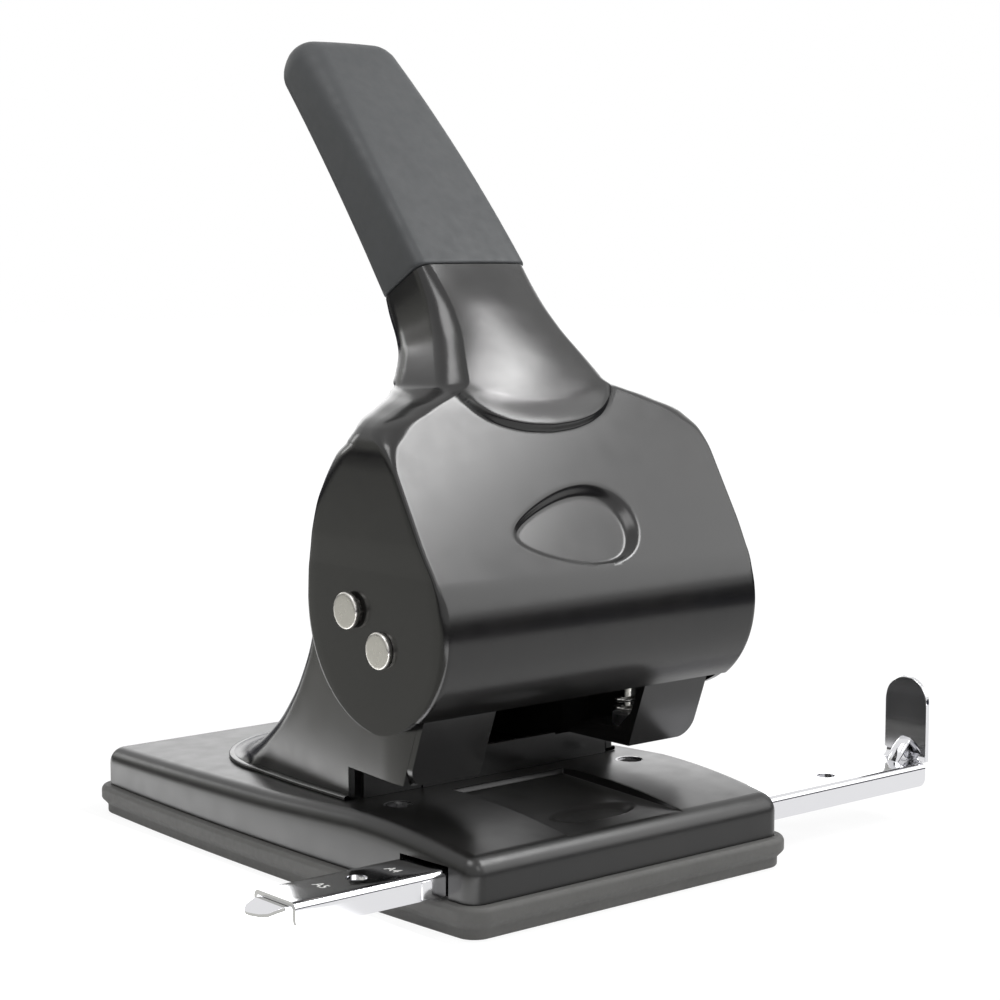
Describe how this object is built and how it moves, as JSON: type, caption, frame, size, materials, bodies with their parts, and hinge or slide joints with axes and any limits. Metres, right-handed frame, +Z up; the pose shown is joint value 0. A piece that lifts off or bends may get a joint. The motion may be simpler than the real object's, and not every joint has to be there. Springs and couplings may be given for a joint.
{
  "type": "two-hole lever punch",
  "caption": "Desk punch with a tall lever shell on a flared sheet frame, two sprung pins over dies, a chip tray and a sliding channel bar with an upright stop.",
  "frame": {"origin": "centre of the chip tray's flat resting face, on the surface that the punch stands on", "axes": "+X to the right along the guide bar, +Y to the rear where the lever leans, +Z up"},
  "size_m": [0.2277, 0.1726, 0.2188],
  "materials": {
    "tray_plastic": "matt warm grey moulded plastic",
    "black_paint": "satin black stoved paint on steel",
    "plain_steel": "plain zinc-grey steel",
    "bright_steel": "turned bright nickel",
    "washer_plastic": "plain nylon",
    "grip_plastic": "matt dark grey soft-touch",
    "bar_chrome": "bright plated"
  },
  "bodies": {
    "tray": {"chip_tray": "tray_plastic"},
    "base": {"base_cover": "black_paint", "die_plate": "plain_steel", "left_die": "plain_steel", "right_die": "plain_steel", "paper_stop": "black_paint", "frame_pedestal": "black_paint", "left_column": "black_paint", "right_column": "black_paint", "left_pin_guide": "plain_steel", "right_pin_guide": "plain_steel", "left_pin_spring": "plain_steel", "right_pin_spring": "plain_steel", "bar_guide": "plain_steel", "bar_spring": "plain_steel", "frame_screws": "plain_steel"},
    "lever": {"lever_shell": "black_paint", "handle_core": "plain_steel", "grip": "grip_plastic", "pivot_axle": "bright_steel", "press_axle": "bright_steel", "axle_washers": "washer_plastic"},
    "left_punch": {"left_pin": "bright_steel", "left_pin_clip": "plain_steel"},
    "right_punch": {"right_pin": "bright_steel", "right_pin_clip": "plain_steel"},
    "paper_guide": {"guide_bar": "bar_chrome", "end_stop": "bar_chrome", "bar_tongue": "bar_chrome"}
  },
  "joints": [
    {"name": "tray_release", "type": "slide", "parent": "tray", "child": "base", "axis": [0, 0, 1], "range_m": [0, 0.025]},
    {"name": "lever_press", "type": "hinge", "parent": "base", "child": "lever", "pos_m": [0, -0.0494, 0.0649], "axis": [-1, 0, 0], "range_deg": [0, 40], "stiffness_Nm_per_rad": 1, "springref_deg": -28.65},
    {"name": "left_pin_slide", "type": "slide", "parent": "base", "child": "left_punch", "axis": [0, 0, -1], "range_m": [0, 0.0098], "deforming": ["left_pin_spring"]},
    {"name": "right_pin_slide", "type": "slide", "parent": "base", "child": "right_punch", "axis": [0, 0, -1], "range_m": [0, 0.0098], "deforming": ["right_pin_spring"]},
    {"name": "paper_guide_slide", "type": "slide", "parent": "base", "child": "paper_guide", "axis": [1, 0, 0], "range_m": [-0.054, 0.03]}
  ],
  "couplings": [
    {"joint": "left_pin_slide", "follows": "lever_press", "m_per_rad": 0.01385},
    {"joint": "right_pin_slide", "follows": "lever_press", "m_per_rad": 0.01385}
  ]
}
